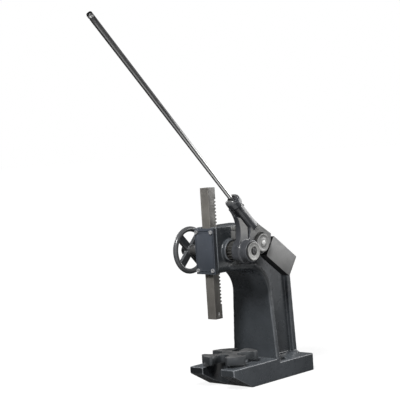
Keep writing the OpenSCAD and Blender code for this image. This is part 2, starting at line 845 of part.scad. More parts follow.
// Front limb, with a raised face like a leaf and a pocket between it and the socket tube
module limb() {
    difference() {
        along_x(limb_x, collar_end_x) limb_view();
        along_x(limb_x + limb_t / 3, collar_end_x + over)
            polygon(concat([[leaf_n - 12, mouth_u]], leaf_edge,
                [[45, -over], [lever_offset + over, -over], [lever_offset + over, mouth_u]]));
    }
}

// Side view of the cheek that carries the pawl
module cheek_view() {
    tube_back = lever_offset + tube_d / 2;
    polygon([[lever_offset - tube_d / 8, collar_d / 2], [tube_back - 3, collar_d / 2 - 3],
        [tube_back + 2, collar_d / 10], [weight_n + 44, weight_u + 27],
        [weight_n + 10, weight_u + 4], [pivot_n, pivot_u - knob_d / 2],
        [0, 4 - collar_d / 2], [48, 20], [leaf_n - 4, 33], [leaf_n + 17, collar_d / 2 - 1]]);
    translate([pivot_n, pivot_u]) circle(d = knob_d + 14);
}

// Rounded bead of the mouth with its saddle between two ears
module mouth_bead() {
    saddle_z = bead_drop + saddle_w / 2 - 4;
    translate([lever_x, lever_offset, mouth_u - bead_drop]) difference() {
        union() {
            intersection() {
                translate([0, 0, -bead_skirt]) cylinder(h = 2 * mouth_round_r, d = mouth_d);
                sphere(r = mouth_round_r);
            }
            translate([0, 0, -2 * bead_skirt]) cylinder(h = bead_skirt, d1 = tube_d, d2 = mouth_d);
        }
        along_x(-mouth_d, mouth_d) {
            translate([0, saddle_z]) circle(d = saddle_w);
            translate([-saddle_w / 2, saddle_z]) square([saddle_w, mouth_d]);
        }
    }
}

// Frame at the front face of the counterweight, its length along -Z
module at_weight() {
    translate([0, weight_n, weight_u]) rotate([weight_tilt, 0, 0]) children();
}

module lever_head() {
    color(grey_cast) at_lever() difference() {
        union() {
            bar_x(head_x, collar_end_x, collar_d);
            bar_x(collar_end_x, nose_end_x, nose_d);
            limb();
            along_x(cheek_x, cheek_end_x) cheek_view();
            translate([lever_x, lever_offset, tube_d / 2])
                cylinder(h = mouth_u - bead_drop - tube_d / 2, d = tube_d);
            mouth_bead();
            at_weight() translate([neck_x, 2, 0]) cube([neck_t, neck_h, 50]);
        }
        bar_x(0, nose_end_x + over, lever_bush_d + 2 * fit_gap);
        translate([lever_x, lever_offset, socket_floor_u])
            cylinder(h = rod_reach, d = rod_d + 2 * fit_gap);
        translate([0, pivot_n, pivot_u]) {
            bar_x(0, cheek_end_x + over, pawl_shaft_d + 2 * fit_gap);
            bar_x(cheek_end_x - knob_recess, nose_end_x, knob_d + 7);
        }
        translate([lever_x, lever_offset, mouth_u - rod_screw_drop])
            bar_y(0, tube_d, rod_screw_d + 2 * fit_gap);
        at_weight() for (y = weight_bolt_y)
            translate([weight_x + weight_t / 2, y, -over])
                cylinder(h = 2 * weight_bolt_d + over, d = weight_bolt_d + 2 * fit_gap);
    }
}

module lever_bush() {
    color(bronze) at_shaft() difference() {
        bar_x(ratchet_end_x + side_gap, nose_end_x, lever_bush_d);
        bar_x(0, nose_end_x + over, shaft_d + 2 * fit_gap);
    }
}

module lever_rod() {
    color(dark_steel) at_lever() translate([lever_x, lever_offset, socket_floor_u]) {
        cylinder(h = mouth_top_u - socket_floor_u, d = rod_d);
        translate([0, 0, mouth_top_u - socket_floor_u])
            cylinder(h = rod_top_u - mouth_top_u, d1 = rod_d, d2 = rod_end_d);
    }
}

module rod_set_screw() {
    color(dark_steel) at_lever()
        translate([lever_x, lever_offset + tube_d / 2, mouth_u - rod_screw_drop]) rotate([-90, 0, 0])
            socket_screw(rod_screw_d, (tube_d - rod_d) / 2 - fit_gap, rod_screw_d / 2);
}

module counterweight() {
    c = weight_chamfer;
    h = weight_h / 2;
    color(grey_cast) at_lever() at_weight() difference() {
        along_x(weight_x, weight_x + weight_t)
            polygon([[-h, -c], [-h + c, 0], [h - c, 0], [h, -c], [h, c - weight_len],
                [h - c, -weight_len], [c - h, -weight_len], [-h, c - weight_len]]);
        for (y = weight_bolt_y) translate([weight_x + weight_t / 2, y, 0]) {
            translate([0, 0, -weight_len - over])
                cylinder(h = weight_len + 2 * over, d = weight_bolt_d + 2 * fit_gap);
            translate([0, 0, -weight_len - over])
                cylinder(h = weight_bolt_d + over, d = 1.6 * weight_bolt_d + 2 * fit_gap);
        }
    }
}

module counterweight_bolts() {
    color(dark_steel) at_lever() at_weight() for (y = weight_bolt_y)
        translate([weight_x + weight_t / 2, y, weight_bolt_d - weight_len]) rotate([180, 0, 0])
            socket_screw(weight_bolt_d, weight_len + weight_bolt_d, weight_bolt_d);
}

// Side view of the pawl as it lies when engaged, measured from the shaft, with a slit in its front
module pawl_view() {
    tooth_gap_a = nose_angle - pawl_clear / ratchet_root_r * 180 / PI;
    tip_r = ratchet_root_r + pawl_clear;
    outer_r = ratchet_d / 2 + pawl_clear + 0.4;
    pivot = polar(pawl_radius, pawl_angle);
    foot = polar(outer_r, tooth_gap_a);
    front = polar(outer_r + 45, tooth_gap_a - 7) - foot;
    inwards = [front[1], -front[0]] / norm(front);
    polygon([polar(tip_r, tooth_gap_a), foot, foot + 0.63 * front, foot + 0.63 * front + 8 * inwards,
        foot + 0.71 * front + 8 * inwards, foot + 0.71 * front, foot + front,
        polar(outer_r + 48, tooth_gap_a - 33), pivot + [6, pawl_boss_d / 2 - 1],
        pivot - [8, pawl_boss_d / 2 - 1], polar(outer_r + 9, tooth_gap_a - 35),
        polar(outer_r, tooth_gap_a - 0.75 * ratchet_step)]);
}

// Pawl, lifted clear of the teeth
module pawl() {
    pivot = polar(pawl_radius, pawl_angle);
    color(dark_steel) at_shaft() translate([0, pivot[0], pivot[1]]) rotate([-pawl_lift, 0, 0])
        difference() {
            union() {
                along_x(pawl_x, pawl_x + pawl_w) translate(-pivot) pawl_view();
                bar_x(pawl_x, cheek_x - side_gap, pawl_boss_d);
            }
            bar_x(0, cheek_end_x, pawl_shaft_d + 2 * fit_gap);
        }
}

module pawl_shaft() {
    color(bright) at_lever() translate([0, pivot_n, pivot_u]) {
        bar_x(pawl_x, knob_x, pawl_shaft_d);
        bar_x(knob_x, knob_end_x + 2, knob_pin_d);
    }
}

module pawl_knob() {
    color(grey_cast) at_lever() translate([0, pivot_n, pivot_u]) difference() {
        bar_x(knob_x, knob_end_x, knob_d);
        bar_x(0, knob_end_x + over, knob_pin_d + 2 * fit_gap);
    }
}

frame_casting();
front_cover_plate();
cover_screws();
side_gib();
gib_screws();
gib_lock_nuts();
right_bearing();
left_bush();
bearing_set_screws();
table_pivot_pin();
table_plate();
ram();
tool_set_screw();
pinion_shaft();
ratchet_wheel();
ratchet_key();
handwheel();
handwheel_key();
handwheel_set_screw();
end_cap();
end_cap_screw();
lever_head();
lever_bush();
lever_rod();
rod_set_screw();
counterweight();
counterweight_bolts();
pawl();
pawl_shaft();
pawl_knob();
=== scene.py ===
import math

import bmesh
import bpy
from mathutils import Matrix, Vector


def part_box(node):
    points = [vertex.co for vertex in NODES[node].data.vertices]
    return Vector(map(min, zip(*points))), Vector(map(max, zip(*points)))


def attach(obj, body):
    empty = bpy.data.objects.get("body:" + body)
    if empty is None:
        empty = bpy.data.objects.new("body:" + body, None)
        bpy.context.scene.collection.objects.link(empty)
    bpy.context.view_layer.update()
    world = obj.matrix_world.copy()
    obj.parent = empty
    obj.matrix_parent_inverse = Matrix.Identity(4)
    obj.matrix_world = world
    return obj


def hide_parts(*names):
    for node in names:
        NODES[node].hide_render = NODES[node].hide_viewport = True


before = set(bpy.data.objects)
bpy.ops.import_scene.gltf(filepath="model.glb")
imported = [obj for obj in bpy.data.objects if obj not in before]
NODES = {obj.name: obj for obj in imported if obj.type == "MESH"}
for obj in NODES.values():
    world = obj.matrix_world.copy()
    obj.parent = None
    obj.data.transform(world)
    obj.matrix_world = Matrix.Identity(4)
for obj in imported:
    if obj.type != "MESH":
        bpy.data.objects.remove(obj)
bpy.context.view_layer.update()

# Places repeated from the solids, in metres
CAP_LO, CAP_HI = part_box("end_cap")
SHAFT = (CAP_LO + CAP_HI) / 2
SHAFT.x = 0
KNOB_LO, KNOB_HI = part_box("pawl_knob")
KNOB = (KNOB_LO + KNOB_HI) / 2
CAP_SEAT_R, CAP_HOLE_R = 0.017, 0.0071
KNOB_HOLE_R = 0.01005
WHEEL_GRIP_R = 0.083
BASE_TOP = 0.089
SLOT_HALF = 0.050
RAM_Y = -0.375
THROAT_TOP, THROAT_Y, ARCH_R, FOOT_LEAN = 0.477, RAM_Y + 0.232, 0.105, 0.005
ARCH = Vector((THROAT_Y - ARCH_R, THROAT_TOP - ARCH_R))
ALONG_X = Matrix.Rotation(math.radians(90), 4, "Y")

# The lever leans about the shaft: U runs along it and N across it
LEVER_LEAN = math.radians(44.5)
LEVER = Matrix.Translation(SHAFT) @ Matrix.Rotation(LEVER_LEAN, 4, "X")
ROD_X, ROD_N = 0.1355, 0.1086
ROD_FLOOR_U, ROD_MOUTH_U, ROD_TOP_U = 0.070, 0.216, 1.216
ROD_R, ROD_END_R = 0.0095, 0.012
LIMB_FACE_X, CHEEK_FACE_X = 0.147, 0.150
# Radii about the shaft between which the lever's ground faces appear
GROUND_START_R, GROUND_FULL_R = 0.052, 0.080

# Angles over which edges are sharp, and the distance under which points are one
SHARP, TURNED_SHARP = math.radians(35), math.radians(50)
SAME_POINT = 2e-6

# Rounded edges of the throat: radius under the arm and down the column, depth behind the face that they
# pull along, where the change from one radius to the other starts and how long it is
ROUND_BROAD, ROUND_FINE, ROUND_REACH = 0.026, 0.006, 0.075
ROUND_FADE_START, ROUND_FADE_LONG = -0.03, 0.11
# Skin of the throat's face in which its width is read, and the length of each reading
SKIN_FRONT, SKIN_BACK, SKIN_CELL = -0.004, 0.014, 0.006

# The studio is white towards this side
ROOM_AXIS = (0.95, 0.31, 0)
# Share of its light that falls on what is not shiny, and the levels of its dark side and its ceiling
ROOM_FILL, ROOM_DARK, CEILING = 0.14, 0.10, 0.22
# White sheet under the lever, as mirrored in bright steel: the ends of its middle line, the distances
# from that line between which it fades, and its brightness
SHEET_FRONT, SHEET_BACK = (0.57, -1.40, 0), (0.57, -0.58, 0)
SHEET_FULL, SHEET_END, SHEET_GLOW = 0.36, 0.48, 1.1
# Floor: half its width, its grey, and its grey in mirrors
FLOOR_HALF, FLOOR_PALE, FLOOR_MIRRORED = 40, 0.16, 0.03

# Lamps: name, place, aim, width and height, watts
LIGHTS = (
    ("key_light", (1.65, -3.72, 3.9), (0, -0.2, 0.5), (1.0, 1.0), 330),
    ("right_light", (2.1, 2.5, 1.2), (0, -0.2, 0.4), (1.6, 1.2), 40),
    ("left_light", (-2.9, -0.5, 1.7), (0, -0.2, 0.5), (1.6, 1.4), 60),
    ("back_light", (0.2, 3.2, 1.25), (0, -0.4, 0.7), (2.0, 0.9), 14),
    ("edge_light", (3.0, -1.95, 0.9), (0, -0.3, 0.6), (0.3, 1.8), 9))

# Camera of the photograph: angles in radians, place in metres
CAMERA_YAW, CAMERA_PITCH, CAMERA_ROLL = (math.radians(a) for a in (42.375, 2.987, 3.660))
CAMERA_PLACE = Vector((3.55775, -4.32279, 1.0581))
LENS_MM, SENSOR_MM, CLIP_END = 117, 36, 200

# Vector operations that give a number
MEASURES = ("DOT_PRODUCT", "LENGTH", "DISTANCE")


class Nodes:
    """A shader node tree under construction, with short calls for the nodes it needs."""

    def __init__(self, owner):
        owner.use_nodes = True
        self.tree = owner.node_tree
        self.coords = self.add("ShaderNodeTexCoord").outputs

    def feed(self, socket, value):
        """Links a socket to another one, or sets its value."""
        if isinstance(value, bpy.types.NodeSocket):
            self.tree.links.new(value, socket)
        else:
            socket.default_value = value

    def add(self, kind, inputs=None, **settings):
        node = self.tree.nodes.new(kind)
        for key, value in settings.items():
            setattr(node, key, value)
        for key, value in (inputs or {}).items():
            self.feed(node.inputs[key], value)
        return node

    def span(self, value, low, high, to_low=0.0, to_high=1.0):
        """Maps low..high to to_low..to_high, held at both ends."""
        return self.add("ShaderNodeMapRange", {
            "Value": value, "From Min": low, "From Max": high,
            "To Min": to_low, "To Max": to_high}).outputs["Result"]

    def math(self, kind, a, b=0.0):
        return self.add("ShaderNodeMath", {0: a, 1: b}, operation=kind).outputs[0]

    def times(self, level, *others):
        """Product of several levels."""
        for other in others:
            level = self.math("MULTIPLY", level, other)
        return level

    def most(self, level, *others):
        """Highest of several levels."""
        for other in others:
            level = self.math("MAXIMUM", level, other)
        return level

    def vector(self, kind, a, b=(0, 0, 0)):
        node = self.add("ShaderNodeVectorMath", {0: a, 1: b}, operation=kind)
        return node.outputs["Value" if kind in MEASURES else "Vector"]


class Finish(Nodes):
    """A material under construction, textured in object coordinates."""

    def __init__(self, name):
        self.material = bpy.data.materials.new(name)
        super().__init__(self.material)
        self.shader = self.tree.nodes["Principled BSDF"]
        self.place = self.coords["Object"]

    def stretched(self, scale, place=None):
        """Coordinates with each axis scaled on its own."""
        return self.add("ShaderNodeMapping", {"Vector": place or self.place, "Scale": scale}).outputs[0]

    def lever_place(self):
        """Coordinates turned about the shaft, so that Z runs along the lever."""
        return self.add("ShaderNodeVectorRotate",
                        {"Vector": self.place, "Center": SHAFT, "Angle": -LEVER_LEAN},
                        rotation_type="X_AXIS").outputs[0]

    def noise(self, scale, detail=3.0, rough=0.55, place=None):
        return self.add("ShaderNodeTexNoise", {
            "Vector": place or self.place, "Scale": scale, "Detail": detail,
            "Roughness": rough}).outputs["Fac"]

    def spread(self, noise, to_low=0.0, to_high=1.0):
        """Noise mapped from its usual values to a wider or narrower range."""
        return self.span(noise, 0.3, 0.7, to_low, to_high)

    def mix(self, share, a, b):
        node = self.add("ShaderNodeMix", data_type="RGBA")
        self.feed(node.inputs["Factor"], share)
        for socket, value in (("A", a), ("B", b)):
            target = [s for s in node.inputs if s.name == socket and s.type == "RGBA"][0]
            self.feed(target, value if isinstance(value, bpy.types.NodeSocket) else (*value, 1))
        return [s for s in node.outputs if s.type == "RGBA"][0]

    def axis(self, vector, letter):
        return self.add("ShaderNodeSeparateXYZ", {0: vector}).outputs[letter]

    def at(self, letter):
        """Place along one axis."""
        return self.axis(self.place, letter)

    def facing(self, letter):
        """Object-space normal along one axis."""
        return self.axis(self.coords["Normal"], letter)

    def right_side(self):
        """Share of faces that look out along X."""
        return self.span(self.facing("X"), 0.6, 0.9)

    def radius(self, centre):
        """Distance from the X axis through a centre."""
        moved = self.vector("SUBTRACT", self.place, (0, *centre.yz))
        return self.vector("LENGTH", self.vector("MULTIPLY", moved, (0, 1, 1)))

    def edges(self, low, high):
        """Share of wear on outer edges, from the mesh's own pointiness."""
        geometry = self.add("ShaderNodeNewGeometry")
        return self.span(geometry.outputs["Pointiness"], low, high)

    def rim(self, radius):
        """Share of wear near edges of a mesh with large flat faces."""
        soft = self.add("ShaderNodeBevel", {"Radius": radius}, samples=6)
        hard = self.add("ShaderNodeNewGeometry")
        same = self.vector("DOT_PRODUCT", soft.outputs[0], hard.outputs["Normal"])
        return self.span(self.math("SUBTRACT", 1.0, same), 0.02, 0.2)

    def bump(self, height, distance, strength, under=None):
        inputs = {"Height": height, "Distance": distance, "Strength": strength}
        if under:
            inputs["Normal"] = under
        return self.add("ShaderNodeBump", inputs).outputs[0]

    def done(self, color, rough, normal, metallic=0.0):
        for key, value in (("Base Color", color), ("Roughness", rough), ("Normal", normal),
                           ("Metallic", metallic)):
            self.feed(self.shader.inputs[key], value)
        return self.material


def tinted(color, share, lift=0.0):
    """A colour made darker or lighter, at most white."""
    return [min(1.0, share * c + lift) for c in color]


def casting_painted_shade(f, low, toes):
    """Painted shade on the front faces of the toes, in the slot, on the housing's side and at the column's
    foot.
    """
    # Painted shade on the front faces of the low toes
    fronts = f.times(low, f.span(f.facing("Y"), -0.9, -0.5, 0.9, 0.0),
                     f.span(f.at("X"), -SLOT_HALF, SLOT_HALF, 1.0, 0.6))
    # Painted shade in the slot between the toes
    slot = f.times(toes, f.span(f.math("ABSOLUTE", f.at("X")), SLOT_HALF, SLOT_HALF + 0.006, 0.9, 0.0))
    # Painted shade on the housing's side, below the lever hub
    housing_shade = f.times(f.right_side(), f.span(f.at("Y"), RAM_Y, THROAT_Y, 0.4, 0.0),
                  f.span(f.at("Z"), THROAT_TOP - 0.02, THROAT_TOP + 0.03))
    foot = f.span(f.at("Z"), BASE_TOP, 2.5 * BASE_TOP, 0.30, 0.0)
    shade = f.times(f.right_side(), f.math("SUBTRACT", foot, toes))
    return f.most(fronts, slot, housing_shade, shade)


def column_painted_light(f):
    """Share of painted light on the column's side, growing upwards."""
    return f.times(f.right_side(), f.span(f.at("Y"), THROAT_Y, THROAT_Y + 0.03),
                   f.span(f.at("Z"), 2 * BASE_TOP, THROAT_TOP, 0.15, 0.9))


def throat_painted_light(f):
    """Share of painted light on the right of the throat, under the arch."""
    ahead = f.span(f.facing("Y"), -0.8, -0.3, 1.0, 0.0)
    rise = f.span(f.at("Z"), THROAT_TOP - 0.16, THROAT_TOP - 0.06, 0.0, 0.8)
    stop = f.span(f.at("Z"), THROAT_TOP - 0.01, THROAT_TOP, 1.0, 0.0)
    return f.times(ahead, f.span(f.at("X"), 0.0, 0.04), rise, stop)


def cast_paint(name, dark, light, worn, grip=None):
    """Charcoal paint over a cast skin, with painted shade and light, dusty with a painted sheen on top,
    edges worn and with a painted highlight, rubbed beyond the radius grip.
    """
    f = Finish(name)
    low = f.span(f.at("Z"), BASE_TOP + 0.002, BASE_TOP + 0.010, 1.0, 0.0)
    toes = f.times(low, f.span(f.at("Y"), RAM_Y - 0.05, 0.1, 1.0, 0.0))
    color = f.mix(f.span(f.noise(5, 4), 0.35, 0.65), dark, light)
    # Painted light: the low front of the base made lighter
    color = f.mix(f.times(toes, 0.55), color, tinted(light, 1.5))
    # Painted shade: the toes' front faces, the slot, the housing's side and the column's foot darkened
    color = f.mix(casting_painted_shade(f, low, toes), color, tinted(dark, 0.2))
    # Painted light on the column's side, stronger towards the top
    color = f.mix(column_painted_light(f), color, tinted(light, 1.7))
    # Lighter on faces that look up: partly dusty paint, partly a painted sheen
    dust_and_sheen = f.times(f.span(f.facing("Z"), 0.6, 1.0), f.spread(f.noise(24, 5), 0.2, 0.75))
    color = f.mix(dust_and_sheen, color, tinted(light, 1.9, 0.02))
    # Painted light under the arch, on the right of the throat
    color = f.mix(throat_painted_light(f), color, tinted(light, 2.6))
    patchy = f.most(f.span(f.noise(22, 3, 0.6), 0.35, 0.65, 0.25, 0.75),
                    f.times(low, f.span(f.noise(16, 3), 0.35, 0.6, 0.35, 1.0)))
    # Lighter along edges: partly worn paint, partly a painted highlight on rounded edges
    color = f.mix(f.times(f.edges(0.512, 0.55), patchy), color, worn)
    if grip:
        color = f.mix(f.span(f.radius(SHAFT), grip - 0.003, grip + 0.003, 0.0, 0.20), color, worn)
    # The toes' edges lighter still: worn paint and a painted highlight
    toe_edge_wear_and_highlight = f.times(toes, f.edges(0.515, 0.545), patchy, 0.45)
    color = f.mix(toe_edge_wear_and_highlight, color, tinted(worn, 1.6))
    skin = f.bump(f.noise(45, 3), distance=0.0008, strength=0.30)
    skin = f.bump(f.noise(380, 2), distance=0.0002, strength=0.10, under=skin)
    return f.done(color, f.spread(f.noise(17, 4), 0.22, 0.34), skin)


def plate_paint(name, dark, light, worn):
    """Smooth paint on a flat plate, with scuffs, a rubbed rim and painted shade on its right side."""
    f = Finish(name)
    color = f.mix(f.spread(f.noise(9, 3)), dark, light)
    scuff = f.span(f.noise(1, 6, 0.7, f.stretched((40, 40, 140))), 0.63, 0.72, 0.0, 0.35)
    rubbed = f.times(f.rim(0.002), f.span(f.noise(70, 4), 0.4, 0.6))
    color = f.mix(f.most(scuff, rubbed), color, worn)
    # Painted shade on the faces that look out along X
    color = f.mix(f.span(f.facing("X"), 0.5, 0.8, 0.0, 0.85), color, tinted(dark, 0.2))
    skin = f.bump(f.noise(300, 2), distance=0.0003, strength=0.25)
    return f.done(color, f.spread(f.noise(30, 4), 0.36, 0.48), skin)


def ground_metal(f, grain, dark, light, stain):
    """Fine lines with faint stains: the lines, and the colour they give."""
    lines = f.noise(1, 3, 0.6, f.stretched(grain))
    stains = f.span(f.noise(14, 5, 0.65), 0.45, 0.75, 0.0, 0.55)
    return lines, f.mix(stains, f.mix(f.spread(lines), dark, light), stain)


def milled_steel(name, dark, light, stain, grain, metallic=0.75, flank_shade=0.0):
    """Bare steel with milling lines, stains and a brighter rim; the last argument sets painted shade on the
    sides along X.
    """
    f = Finish(name)
    lines, color = ground_metal(f, grain, dark, light, stain)
    # Painted shade on the sides that face along X, by the last argument's share
    side_shade = f.span(f.math("ABSOLUTE", f.facing("X")), 0.6, 0.9, 0.0, flank_shade)
    color = f.mix(side_shade, color, tinted(stain, 0.3))
    color = f.mix(f.rim(0.0012), color, tinted(light, 1.6))
    skin = f.bump(lines, distance=0.0002, strength=0.25)
    return f.done(color, f.spread(f.noise(40, 4), 0.34, 0.50), skin, metallic)


def faced_iron(name, dark, light, stain, paint):
    """Painted block, ground bare on the side that faces out along X."""
    f = Finish(name)
    lines, ground = ground_metal(f, (60, 500, 500), dark, light, stain)
    skin = f.mix(f.spread(f.noise(20, 4)), paint, tinted(paint, 1.7))
    rubbed = f.times(f.rim(0.0015), f.span(f.noise(60, 4), 0.35, 0.6))
    skin = f.mix(rubbed, skin, tinted(dark, 0.5))
    color = f.mix(f.span(f.facing("X"), 0.55, 0.85), skin, ground)
    marks = f.bump(lines, distance=0.0002, strength=0.25)
    return f.done(color, f.spread(f.noise(40, 4), 0.50, 0.64), marks, metallic=0.15)


def turned_iron(name, dark, light, centre, seat):
    """Face-turned iron: fine rings about an X axis through centre, with painted shade on its sides and in
    its seat.
    """
    f = Finish(name)
    radius = f.radius(centre)
    rings = f.add("ShaderNodeTexNoise", {"W": radius, "Scale": 900.0, "Detail": 2.0},
                  noise_dimensions="1D").outputs["Fac"]
    color = f.mix(f.spread(rings), dark, light)
    color = f.mix(f.span(f.noise(45, 5, 0.65), 0.45, 0.8, 0.0, 0.6), color, tinted(dark, 0.55))
    color = f.mix(f.rim(0.0012), color, tinted(light, 1.4))
    # Painted shade: all but the outer face, the screw seat included, made dark
    face = f.times(f.span(f.facing("X"), 0.5, 0.8), f.span(radius, seat - 0.0005, seat + 0.0005))
    color = f.mix(face, tinted(light, 0.12), color)
    marks = f.bump(rings, distance=0.0002, strength=0.3)
    return f.done(color, f.spread(f.noise(60, 4), 0.38, 0.52), marks, metallic=0.3)


def dark_oxide(name, dark, light, rough=0.38):
    """Blackened steel of screws, pins and the ratchet."""
    f = Finish(name)
    color = f.mix(f.spread(f.noise(90, 4)), dark, light)
    color = f.mix(f.rim(0.0008), color, tinted(light, 3.0))
    skin = f.bump(f.noise(500, 2), distance=0.0002, strength=0.2)
    return f.done(color, f.spread(f.noise(120, 3), rough - 0.06, rough + 0.08), skin, metallic=0.7)


def bronze_metal(name, dark, light, bloom):
    """Bearing bronze with turning lines and a brown bloom."""
    f = Finish(name)
    lines = f.noise(1, 2, 0.5, f.stretched((1500, 60, 60)))
    color = f.mix(f.spread(lines), dark, light)
    color = f.mix(f.span(f.noise(50, 4), 0.4, 0.7, 0.0, 0.8), color, bloom)
    marks = f.bump(lines, distance=0.0002, strength=0.3)
    return f.done(color, f.spread(lines, 0.32, 0.45), marks, metallic=0.9)


def rod_steel(name, dull, held, spot, shiny, end):
    """Drawn bar: dull above with a painted sheen on its underside, polished towards the socket, with a
    painted highlight below its end.

    dull, held and shiny are pairs of a dark and a light colour; held is a painted sheen for the underside.
    """
    f = Finish(name)
    turned = f.lever_place()
    lines = f.noise(1, 3, 0.6, f.stretched((700, 700, 9), turned))
    spots = f.noise(1, 5, 0.65, f.stretched((60, 60, 14), turned))
    along = f.axis(turned, "Z")
    uneven = f.math("ADD", along, f.times(spots, 0.12))
    used = f.span(uneven, SHAFT.z + 0.36, SHAFT.z + 0.75, 1.0, 0.0)
    # Painted sheen: faces that look down take the lighter steel colour
    under = f.span(f.facing("Z"), -0.60, -0.15, 1.0, 0.0)
    upper = f.mix(under, f.mix(f.spread(lines), *dull), f.mix(f.spread(lines), *held))
    upper = f.mix(f.span(spots, 0.60, 0.75, 0.0, 0.6), upper, spot)
    color = f.mix(used, upper, f.mix(f.spread(lines), *shiny))
    tip = f.math("SUBTRACT", along, SHAFT.z + ROD_TOP_U)
    # Painted highlight: a near-white band below the end, on faces that look down
    rim = f.times(f.span(tip, -0.017, -0.014), f.span(tip, -0.008, -0.005, 1.0, 0.0), under)
    color = f.mix(rim, color, end)
    rough = f.math("ADD", f.spread(spots, 0.10, 0.18), f.span(used, 0.0, 1.0, 0.2, 0.0))
    return f.done(color, rough, f.bump(lines, distance=0.00008, strength=0.2), metallic=0.9)


def worn_top(name, side, top, scratched, rubbed):
    """Table iron: dark sides, a patchy brighter top with scratches, and a rubbed rim.

    side and top are pairs of a dark and a light colour.
    """
    f = Finish(name)
    dark = f.mix(f.spread(f.noise(12, 5)), *side)
    bright = f.mix(f.spread(f.noise(26, 6, 0.7)), *top)
    scratch = f.span(f.noise(1, 4, 0.7, f.stretched((30, 400, 30))), 0.62, 0.7, 0.0, 0.6)
    bright = f.mix(scratch, bright, scratched)
    up = f.times(f.span(f.facing("Z"), 0.7, 0.95), f.span(f.noise(9, 4, 0.6), 0.36, 0.6, 0.25, 1.0))
    color = f.mix(up, dark, bright)
    rub = f.times(f.rim(0.002), f.span(f.noise(60, 4), 0.4, 0.6))
    color = f.mix(rub, color, rubbed)
    skin = f.bump(f.noise(200, 3), distance=0.0004, strength=0.3)
    return f.done(color, f.spread(f.noise(30, 4), 0.36, 0.52), skin, metallic=0.35)


def lever_face(f):
    """Share of ground metal on the outer faces of limb and cheek, fading towards the hub."""
    x = f.at("X")
    out = f.times(f.span(x, LIMB_FACE_X - 0.0035, LIMB_FACE_X - 0.0015),
                  f.span(x, CHEEK_FACE_X + 0.0005, CHEEK_FACE_X + 0.0015, 1.0, 0.0))
    return f.times(out, f.span(f.radius(SHAFT), GROUND_START_R, GROUND_FULL_R, 0.15, 1.0),
                   f.span(f.facing("X"), 0.80, 0.95))


def lever_iron(name, paint, worn, metal, stain, cheek, ears):
    """Lever casting: painted skin, ground outer faces and lighter ears at the mouth of the socket.

    paint and metal are pairs of a dark and a light colour.
    """
    f = Finish(name)
    skin = f.mix(f.span(f.noise(14, 4), 0.35, 0.65), *paint)
    rubbed = f.times(f.edges(0.54, 0.62), f.span(f.noise(60, 5, 0.7), 0.48, 0.66))
    skin = f.mix(rubbed, skin, worn)
    lines = f.noise(1, 3, 0.6, f.stretched((60, 700, 700)))
    ground = f.mix(f.spread(lines), *metal)
    ground = f.mix(f.span(f.noise(30, 5, 0.65), 0.45, 0.8, 0.0, 0.6), ground, stain)
    ground = f.mix(f.span(f.at("X"), LIMB_FACE_X, CHEEK_FACE_X, 0.0, 0.35), ground, cheek)
    face = lever_face(f)
    color = f.mix(face, skin, ground)
    mouth = SHAFT.z + ROD_MOUTH_U
    near = f.span(f.axis(f.lever_place(), "Z"), mouth - 0.026, mouth - 0.014, 0.0, 0.7)
    color = f.mix(near, color, ears)
    rough = f.math("ADD", f.spread(f.noise(40, 4), 0.18, 0.28), f.times(face, 0.3))
    sand = f.bump(f.noise(50, 3), distance=0.0005, strength=0.2)
    sand = f.bump(f.noise(450, 2), distance=0.0002, strength=0.08, under=sand)
    return f.done(color, rough, sand)


PAINT = cast_paint("charcoal_paint", dark=(0.037, 0.042, 0.047), light=(0.056, 0.062, 0.069),
                   worn=(0.21, 0.22, 0.235))
WHEEL_PAINT = cast_paint("wheel_paint", dark=(0.036, 0.039, 0.043), light=(0.064, 0.067, 0.073),
                         worn=(0.22, 0.22, 0.22), grip=WHEEL_GRIP_R)
COVER_PAINT = plate_paint("cover_paint", dark=(0.045, 0.052, 0.064), light=(0.060, 0.068, 0.084),
                          worn=(0.22, 0.23, 0.25))
# The ram's sides get painted shade
RAM_STEEL = milled_steel("ram_steel", dark=(0.14, 0.133, 0.121), light=(0.20, 0.190, 0.174),
                         stain=(0.075, 0.071, 0.063), grain=(700, 700, 30), metallic=0.25, flank_shade=0.7)
PART_STEEL = milled_steel("part_steel", dark=(0.16, 0.16, 0.16), light=(0.26, 0.26, 0.26),
                          stain=(0.08, 0.08, 0.08), grain=(60, 400, 400))
PAWL_STEEL = milled_steel("pawl_steel", dark=(0.15, 0.15, 0.145), light=(0.24, 0.24, 0.235),
                          stain=(0.08, 0.08, 0.08), grain=(300, 300, 60), metallic=0.4)
WEIGHT_IRON = faced_iron("weight_iron", dark=(0.18, 0.18, 0.18), light=(0.26, 0.26, 0.258),
                         stain=(0.14, 0.14, 0.14), paint=(0.009, 0.0095, 0.010))
CAP_IRON = turned_iron("cap_iron", dark=(0.22, 0.22, 0.215), light=(0.36, 0.36, 0.35),
                       centre=SHAFT, seat=CAP_SEAT_R)
KNOB_IRON = turned_iron("knob_iron", dark=(0.17, 0.17, 0.167), light=(0.27, 0.27, 0.265),
                        centre=KNOB, seat=0)
SCREW_DARK = dark_oxide("screw_dark", dark=(0.030, 0.030, 0.031), light=(0.060, 0.060, 0.062))
RATCHET_DARK = dark_oxide("ratchet_dark", dark=(0.085, 0.084, 0.080), light=(0.150, 0.148, 0.142),
                          rough=0.36)
SCREW_BRIGHT = milled_steel("screw_bright", dark=(0.16, 0.16, 0.165), light=(0.62, 0.62, 0.63),
                            stain=(0.14, 0.14, 0.14), grain=(420, 420, 420), metallic=0.5)
PIN_BRIGHT = milled_steel("pin_bright", dark=(0.46, 0.46, 0.45), light=(0.64, 0.64, 0.63),
                          stain=(0.30, 0.30, 0.30), grain=(300, 300, 300), metallic=0.3)
BRONZE = bronze_metal("bearing_bronze", dark=(0.060, 0.053, 0.042), light=(0.095, 0.084, 0.066),
                      bloom=(0.026, 0.024, 0.022))
